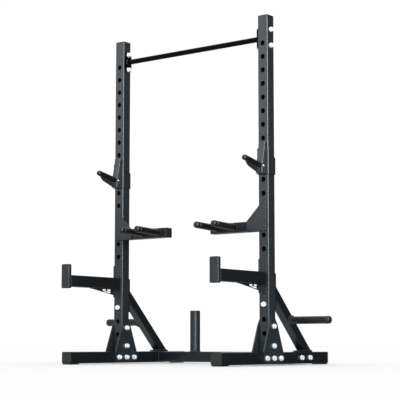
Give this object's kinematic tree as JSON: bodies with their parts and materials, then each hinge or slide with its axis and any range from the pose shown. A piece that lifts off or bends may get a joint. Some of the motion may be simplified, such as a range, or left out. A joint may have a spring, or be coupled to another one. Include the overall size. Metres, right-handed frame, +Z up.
{
  "type": "half rack",
  "caption": "Free-standing squat rack of square steel tube with pull-up bar, J-cups, dip arms, spotter arms, plate pegs and a bar holder.",
  "frame": {"origin": "on the floor under the middle of the bounding box", "axes": "+Z up; -Y is the front, where the spotter arms point; +X is to the right seen from the front"},
  "size_m": [1.704, 1.119, 2.05],
  "materials": {
    "frame_paint": "charcoal powder coat, fine texture",
    "attachment_paint": "charcoal powder coat, fine texture",
    "cradle_paint": "grey powder coat, satin",
    "zinc": "bright zinc plate",
    "plastic": "moulded black, satin",
    "rubber": "moulded black rubber"
  },
  "bodies": {
    "frame": {"crossmember": "frame_paint", "bar_holder": "frame_paint", "pull_up_bar": "frame_paint", "upright_left": "frame_paint", "upright_cap_left": "plastic", "foot_left": "frame_paint", "foot_cap_left_front": "plastic", "foot_cap_left_rear": "plastic", "foot_pad_left_front": "rubber", "foot_pad_left_rear": "rubber", "gusset_left_inner": "frame_paint", "gusset_left_outer": "frame_paint", "gusset_bolt_left_top": "zinc", "gusset_bolt_left_middle": "zinc", "gusset_bolt_left_front": "zinc", "gusset_bolt_left_centre": "zinc", "gusset_bolt_left_rear": "zinc", "brace_left": "frame_paint", "plate_peg_left": "frame_paint", "plate_peg_cap_left": "plastic", "upright_right": "frame_paint", "upright_cap_right": "plastic", "foot_right": "frame_paint", "foot_cap_right_front": "plastic", "foot_cap_right_rear": "plastic", "foot_pad_right_front": "rubber", "foot_pad_right_rear": "rubber", "gusset_right_inner": "frame_paint", "gusset_right_outer": "frame_paint", "gusset_bolt_right_top": "zinc", "gusset_bolt_right_middle": "zinc", "gusset_bolt_right_front": "zinc", "gusset_bolt_right_centre": "zinc", "gusset_bolt_right_rear": "zinc", "brace_right": "frame_paint", "plate_peg_right": "frame_paint", "plate_peg_cap_right": "plastic"},
    "j_cup_left": {"j_cup_bracket_left": "attachment_paint", "j_cup_cradle_left": "cradle_paint", "j_cup_rod_left": "rubber"},
    "dip_left": {"dip_bracket_left": "attachment_paint", "dip_arm_left": "attachment_paint", "dip_grip_left_inner": "rubber", "dip_grip_left_outer": "rubber"},
    "spotter_left": {"spotter_bracket_left": "attachment_paint", "spotter_arm_left": "attachment_paint", "spotter_stop_left": "attachment_paint", "spotter_gusset_left": "attachment_paint"},
    "j_cup_right": {"j_cup_bracket_right": "attachment_paint", "j_cup_cradle_right": "cradle_paint", "j_cup_rod_right": "rubber"},
    "dip_right": {"dip_bracket_right": "attachment_paint", "dip_arm_right": "attachment_paint", "dip_grip_right_inner": "rubber", "dip_grip_right_outer": "rubber"},
    "spotter_right": {"spotter_bracket_right": "attachment_paint", "spotter_arm_right": "attachment_paint", "spotter_stop_right": "attachment_paint", "spotter_gusset_right": "attachment_paint"}
  },
  "joints": [
    {"name": "j_cup_left_pull_out", "type": "slide", "parent": "frame", "child": "j_cup_left", "axis": [0, -1, 0], "range_m": [0, 0.07]},
    {"name": "dip_left_pull_out", "type": "slide", "parent": "frame", "child": "dip_left", "axis": [0, -1, 0], "range_m": [0, 0.06]},
    {"name": "spotter_left_pull_out", "type": "slide", "parent": "frame", "child": "spotter_left", "axis": [0, -1, 0], "range_m": [0, 0.06]},
    {"name": "j_cup_right_pull_out", "type": "slide", "parent": "frame", "child": "j_cup_right", "axis": [0, -1, 0], "range_m": [0, 0.07]},
    {"name": "dip_right_pull_out", "type": "slide", "parent": "frame", "child": "dip_right", "axis": [0, -1, 0], "range_m": [0, 0.06]},
    {"name": "spotter_right_pull_out", "type": "slide", "parent": "frame", "child": "spotter_right", "axis": [0, -1, 0], "range_m": [0, 0.06]}
  ]
}
